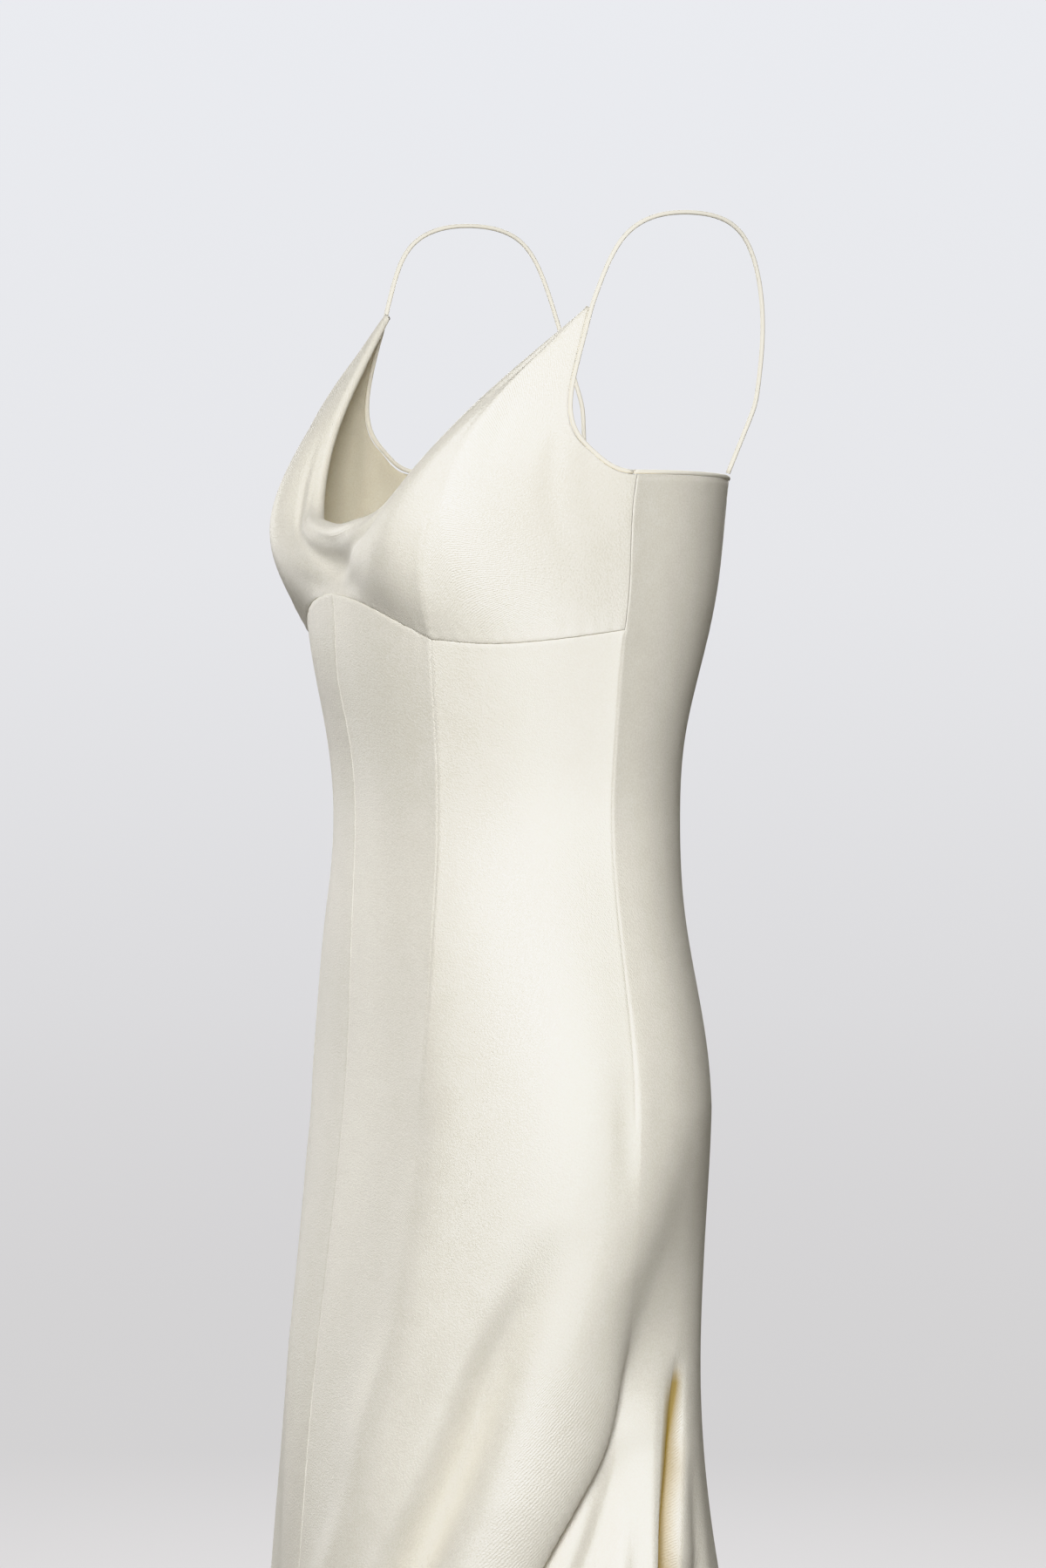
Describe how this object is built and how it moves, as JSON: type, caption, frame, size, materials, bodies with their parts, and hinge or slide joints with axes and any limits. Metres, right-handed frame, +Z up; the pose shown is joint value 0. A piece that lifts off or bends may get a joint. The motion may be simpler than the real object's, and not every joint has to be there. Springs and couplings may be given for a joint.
{
  "type": "slip dress",
  "caption": "Floor-length bias-cut slip dress in ivory silk satin with a draped cowl neck, rouleau straps, darted body and a skirt that falls in soft diagonal folds, worn open and hollow.",
  "frame": {"origin": "Midway between the tops of the two shoulder straps, level with them, where the wearer's shoulders carry the dress.", "axes": "+Z is up. The wearer faces -Y. +X is the wearer's left. The hem is the lowest part, at about -1.42 m."},
  "size_m": [0.4625, 0.4436, 1.4165],
  "materials": {
    "satin": "ivory silk satin, crepe-backed, soft broad sheen, fine grain",
    "rouleau": "the same ivory satin sewn into narrow round tubes"
  },
  "bodies": {
    "root": {"bodice_front": "satin", "panel_left": "satin", "panel_right": "satin", "strap_left": "rouleau", "strap_right": "rouleau", "back_binding": "rouleau"}
  },
  "joints": []
}
